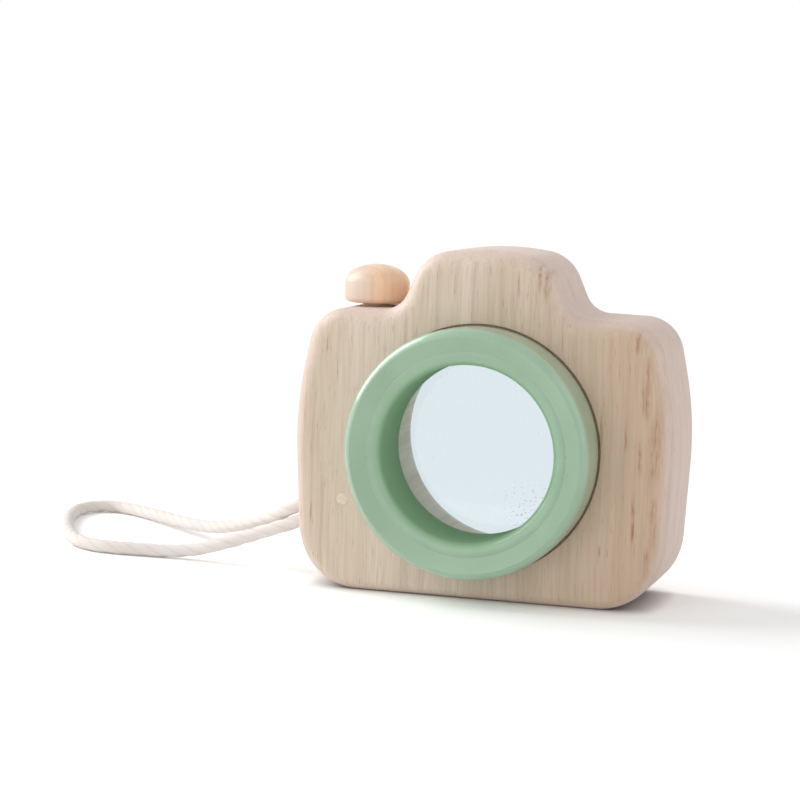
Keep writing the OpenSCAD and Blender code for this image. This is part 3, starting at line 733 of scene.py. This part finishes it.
def makeButton(spec, spring):
    foot, radius = spec["capFoot"], spec["radius"]
    top = foot + spec["rim"]
    angles = [math.pi / 2 * i / spec["domeSteps"] for i in range(spec["domeSteps"])]
    dome = [(radius * math.cos(a), top + spec["dome"] * math.sin(a)) for a in angles] + [(0, top + spec["dome"])]
    cap = [(0, foot + spec["socketDepth"]), (spec["socket"], foot + spec["socketDepth"]), (spec["socket"], foot),
        (radius - spec["footEdge"] - 0.2, foot)] + \
        roundArc((radius - spec["footEdge"], foot + spec["footEdge"]), spec["footEdge"], -90, 0, 10) + dome
    wood = woodMaterial("buttonWood", buttonWood)
    newPiece("buttonCap", roundOff(latheMesh("buttonCap", cap, axisAt((*spec["at"], 0), (0, 0, 1)), 112), 40), wood,
        "button", "button_wood", "button_cap")
    for node in ("button_stem", "button_pin"):
        frame["nodes"][node].data.materials.clear()
        frame["nodes"][node].data.materials.append(wood)
    finish = steelMaterial(steel)
    half = spring["wire"] / 2
    low = spring["from"] + half
    coil = bakeTree("buttonSpring", pathMesh("springPath", [Vector((0, 0, 0)), Vector((0, 0, mm))]), wireTree(),
        {"Curls": float(spring["curls"]), "Steps": spring["stepsPerCurl"], "Coil radius": spring["coil"] * mm,
            "Rise": (spring["to"] - half - low) * mm, "Wire radius": half * mm, "Sides": spring["sides"],
            "Place": Vector((*spring["at"], low)) * mm, "Finish": finish})
    piece = newPiece("buttonSpring", coil, finish, "camera", "spring_wire", "button_spring")
    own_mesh(piece)
    print("button made")


makeButton(buttonSpec, springSpec)


# cord pin: dowel let in flush with the front face

cordPinSpec = {"at": (-33.375, -9.2, 22), "radius": 1.53, "length": 23.4, "edge": 0.1}


def makeCordPin(spec):
    radius, length, edge = spec["radius"], spec["length"], spec["edge"]
    dowel = [(0, 0), (radius - edge - 0.2, 0)] + roundArc((radius - edge, edge), edge, -90, 0, 4) + \
        roundArc((radius - edge, length - edge), edge, 0, 90, 4) + [(0, length)]
    newPiece("cordPin", roundOff(latheMesh("cordPin", dowel, axisAt(spec["at"], (0, 1, 0)), 48)),
        woodMaterial("pinWood", pinWood), "camera", "turned_wood", "cord_pin")
    print("cord pin made")


makeCordPin(cordPinSpec)


# white floor and soft studio light

lightSpec = {"world": 0.56, "floor": 0.92, "floorShown": 1.22, "floorSize": 4, "whiteFrom": 0.12, "whiteTo": 0.28,
    "contactReach": 0.006, "contactShade": 0.2, "contactRange": (0.056, 0.070),
    "lamps": [("windowLamp", (-0.80, 0.08, 0.52), (0, 0, 0.03), 0.7, 6.5),
        ("frontLamp", (-0.25, -0.9, 0.35), (0, 0, 0.04), 0.9, 2.0),
        ("sideLamp", (0.85, -0.1, 0.4), (0, 0, 0.04), 0.8, 1.2)]}


def seenRays(tree):  # rays that show the background: from the camera, in a gloss, or through the disc
    rays = addNode(tree, "ShaderNodeLightPath").outputs
    seen = calc(tree, "MAXIMUM", rays["Is Camera Ray"], rays["Is Glossy Ray"])
    return calc(tree, "MAXIMUM", seen, rays["Is Transmission Ray"]), rays["Is Transmission Ray"]


def setWorld(spec):
    world = scene.world or bpy.data.worlds.new("studio")
    scene.world = world
    world.use_nodes = True
    tree = world.node_tree
    tree.nodes.clear()
    seen = seenRays(tree)[0]
    strength = calc(tree, "ADD", spec["world"], calc(tree, "MULTIPLY", seen, 1 - spec["world"]))
    sky = addNode(tree, "ShaderNodeBackground", {"Color": (1, 1, 1, 1), "Strength": strength})
    addNode(tree, "ShaderNodeOutputWorld", {"Surface": sky.outputs[0]})


def floorMaterial(spec):
    material, tree, shader = newMaterial("floorWhite")
    setInputs(shader, {"Roughness": 0.9, "Specular IOR Level": 0.1, "Emission Color": (1, 1, 1, 1)})
    seen, through = seenRays(tree)
    place = addNode(tree, "ShaderNodeTexCoord").outputs["Object"]
    away = addNode(tree, "ShaderNodeVectorMath", {0: place}, operation="LENGTH").outputs["Value"]
    plain = calc(tree, "MULTIPLY", seen, stretch(tree, away, spec["whiteFrom"], spec["whiteTo"], smooth=True))
    plain = calc(tree, "MAXIMUM", plain, through)  # far off and through the disc it is plain white
    tree.links.new(plain, shader.inputs["Emission Strength"])
    lit = blendColours(tree, seen, (spec["floor"],) * 3 + (1,), (spec["floorShown"],) * 3 + (1,))
    corner = addNode(tree, "ShaderNodeAmbientOcclusion", {"Distance": spec["contactReach"]}, samples=16).outputs["AO"]
    closed = calc(tree, "MULTIPLY", seen, calc(tree, "SUBTRACT", 1.0, corner))  # deeper shade close under the block
    closed = calc(tree, "MULTIPLY", closed, stretch(tree, away, *spec["contactRange"], 1.0, 0.0, smooth=True))
    openness = stretch(tree, closed, 0.0, 1.0, 1.0, spec["contactShade"])
    lit = addNode(tree, "ShaderNodeVectorMath", {0: lit, "Scale": openness}, operation="SCALE").outputs["Vector"]
    tree.links.new(blendColours(tree, plain, lit, (0, 0, 0, 1)), shader.inputs["Base Color"])
    return material


def setStage(spec):
    setWorld(spec)
    bm = bmesh.new()
    bmesh.ops.create_grid(bm, x_segments=2, y_segments=2, size=spec["floorSize"])
    mesh = meshFrom(bm, "floor")
    mesh.materials.append(floorMaterial(spec))
    floor = bpy.data.objects.new("floor", mesh)
    scene.collection.objects.link(floor)

    for name, place, target, size, power in spec["lamps"]:
        data = bpy.data.lights.new(name, "AREA")
        data.energy, data.size = power, size
        lamp = bpy.data.objects.new(name, data)
        lamp.location = place
        lamp.rotation_euler = (Vector(target) - Vector(place)).to_track_quat("-Z", "Y").to_euler()
        scene.collection.objects.link(lamp)
    print("stage and light set")


setStage(lightSpec)

bpy.context.view_layer.update()
